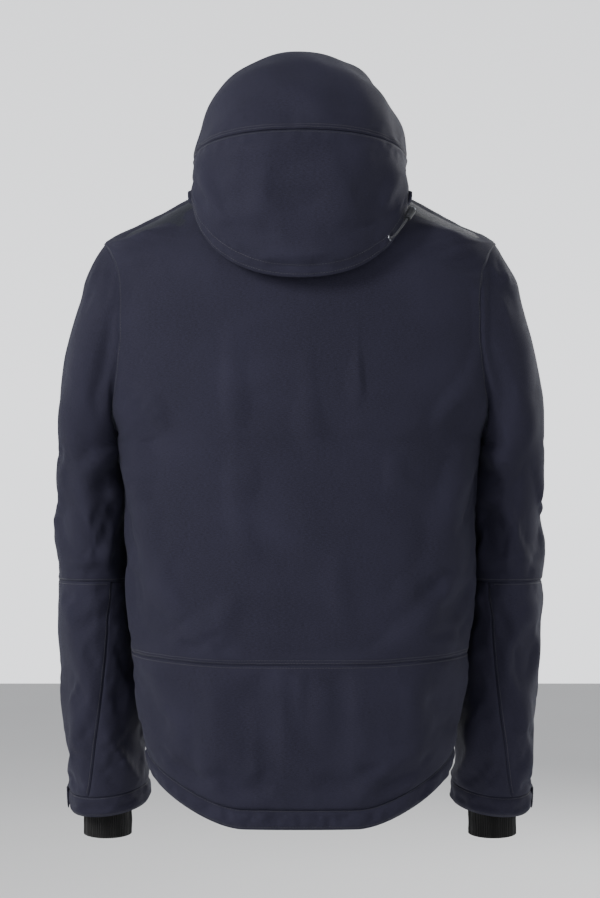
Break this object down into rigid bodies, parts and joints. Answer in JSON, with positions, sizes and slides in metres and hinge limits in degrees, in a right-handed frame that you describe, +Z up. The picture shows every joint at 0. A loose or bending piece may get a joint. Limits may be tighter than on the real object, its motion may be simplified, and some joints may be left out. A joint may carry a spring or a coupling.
{
  "type": "foul weather jacket",
  "caption": "Hooded padded jacket with zipped front, storm placket, hand pockets, tabbed cuffs and wrist gaiters.",
  "frame": {"origin": "the middle of the slot's upper edge in the hang loop inside the back of the neck, where a hook bears", "axes": "+Z up, -Y out of the front at the zip, +X towards the wearer's left"},
  "size_m": [0.5936, 0.3055, 0.9523],
  "materials": {
    "shell_fabric": "matte fine weave, padded",
    "lining_fabric": "smooth taffeta",
    "gaiter_knit": "stretch rib knit",
    "zip_tape": "woven tape",
    "zip_metal": "satin",
    "moulded_plastic": "matte",
    "cord_weave": "round braid"
  },
  "bodies": {
    "root": {"back_lower_panel": "shell_fabric", "back_panel": "shell_fabric", "collar": "shell_fabric", "cord_lock": "moulded_plastic", "front_panel_left": "shell_fabric", "front_panel_right": "shell_fabric", "hang_loop": "zip_tape", "hem_band_back": "shell_fabric", "hem_band_front_left": "shell_fabric", "hem_band_front_right": "shell_fabric", "hood_back_panel": "shell_fabric", "hood_cord": "cord_weave", "hood_eyelet": "zip_metal", "hood_neck_panel": "lining_fabric", "lining_back": "lining_fabric", "lining_front_left": "lining_fabric", "lining_front_right": "lining_fabric", "pocket_bag_left": "lining_fabric", "pocket_bag_right": "lining_fabric", "pocket_zip_left": "zip_tape", "pocket_zip_right": "zip_tape", "sleeve_elbow_left": "shell_fabric", "sleeve_elbow_right": "shell_fabric", "sleeve_upper_left": "shell_fabric", "sleeve_upper_right": "shell_fabric", "storm_placket": "shell_fabric", "zip_box": "moulded_plastic", "zip_stop_left": "zip_metal", "zip_stop_right": "zip_metal", "zip_tape_left": "zip_tape", "zip_tape_right": "zip_tape", "zip_teeth_left": "moulded_plastic", "zip_teeth_right": "moulded_plastic"},
    "forearm_left": {"sleeve_lower_left": "shell_fabric", "sleeve_under_left": "shell_fabric", "cuff_band_left": "shell_fabric", "wrist_gaiter_left": "gaiter_knit"},
    "forearm_right": {"sleeve_lower_right": "shell_fabric", "sleeve_under_right": "shell_fabric", "cuff_band_right": "shell_fabric", "wrist_gaiter_right": "gaiter_knit"},
    "cuff_tab_left": {"cuff_tab_left": "shell_fabric"},
    "cuff_tab_right": {"cuff_tab_right": "shell_fabric"},
    "hood": {"hood_crown_panel": "shell_fabric", "hood_brim": "shell_fabric"},
    "main_slider": {"main_slider": "zip_metal"},
    "main_puller": {"main_puller": "moulded_plastic"},
    "pocket_slider_left": {"pocket_slider_left": "zip_metal"},
    "pocket_slider_right": {"pocket_slider_right": "zip_metal"},
    "pocket_puller_left": {"pocket_puller_left": "moulded_plastic"},
    "pocket_puller_right": {"pocket_puller_right": "moulded_plastic"},
    "cord_lock_plunger": {"cord_lock_plunger": "zip_metal"}
  },
  "joints": [
    {"name": "elbow_left", "type": "hinge", "parent": "root", "child": "forearm_left", "pos_m": [0.249, -0.11608, -0.47], "axis": [-1, 0, 0], "range_deg": [0, 60], "deforming": ["sleeve_elbow_left"]},
    {"name": "cuff_tab_left_hinge", "type": "hinge", "parent": "forearm_left", "child": "cuff_tab_left", "pos_m": [0.28506, -0.15858, -0.74056], "axis": [0.0276, 0.2265, 0.9736], "range_deg": [0, 70]},
    {"name": "elbow_right", "type": "hinge", "parent": "root", "child": "forearm_right", "pos_m": [-0.249, -0.11608, -0.47], "axis": [-1, 0, 0], "range_deg": [0, 60], "deforming": ["sleeve_elbow_right"]},
    {"name": "cuff_tab_right_hinge", "type": "hinge", "parent": "forearm_right", "child": "cuff_tab_right", "pos_m": [-0.28506, -0.15858, -0.74056], "axis": [0.0276, -0.2265, -0.9736], "range_deg": [0, 70]},
    {"name": "hood_tilt", "type": "hinge", "parent": "root", "child": "hood", "pos_m": [0, -0.05808, 0.038], "axis": [-1, 0, 0], "range_deg": [0, 35], "deforming": ["hood_back_panel", "hood_neck_panel"]},
    {"name": "main_slider_run", "type": "slide", "parent": "root", "child": "main_slider", "axis": [0, -0.0672, -0.9977], "range_m": [0, 0.638]},
    {"name": "main_puller_swing", "type": "hinge", "parent": "main_slider", "child": "main_puller", "pos_m": [0, -0.15869, -0.02532], "axis": [-1, 0, 0], "range_deg": [0, 150]},
    {"name": "pocket_slider_left_run", "type": "slide", "parent": "root", "child": "pocket_slider_left", "axis": [0.1523, 0.0161, -0.9882], "range_m": [0, 0.144]},
    {"name": "pocket_puller_left_swing", "type": "hinge", "parent": "pocket_slider_left", "child": "pocket_puller_left", "pos_m": [0.12372, -0.17223, -0.38486], "axis": [-0.9231, -0.355, -0.148], "range_deg": [0, 150]},
    {"name": "pocket_slider_right_run", "type": "slide", "parent": "root", "child": "pocket_slider_right", "axis": [-0.1523, 0.0161, -0.9882], "range_m": [0, 0.144]},
    {"name": "pocket_puller_right_swing", "type": "hinge", "parent": "pocket_slider_right", "child": "pocket_puller_right", "pos_m": [-0.12372, -0.17223, -0.38486], "axis": [-0.9231, 0.355, 0.148], "range_deg": [0, 150]},
    {"name": "cord_lock_press", "type": "slide", "parent": "root", "child": "cord_lock_plunger", "axis": [0.4005, 0.6008, -0.6918], "range_m": [0, 0.003], "stiffness_N_per_m": 400, "springref_m": -0.002}
  ]
}
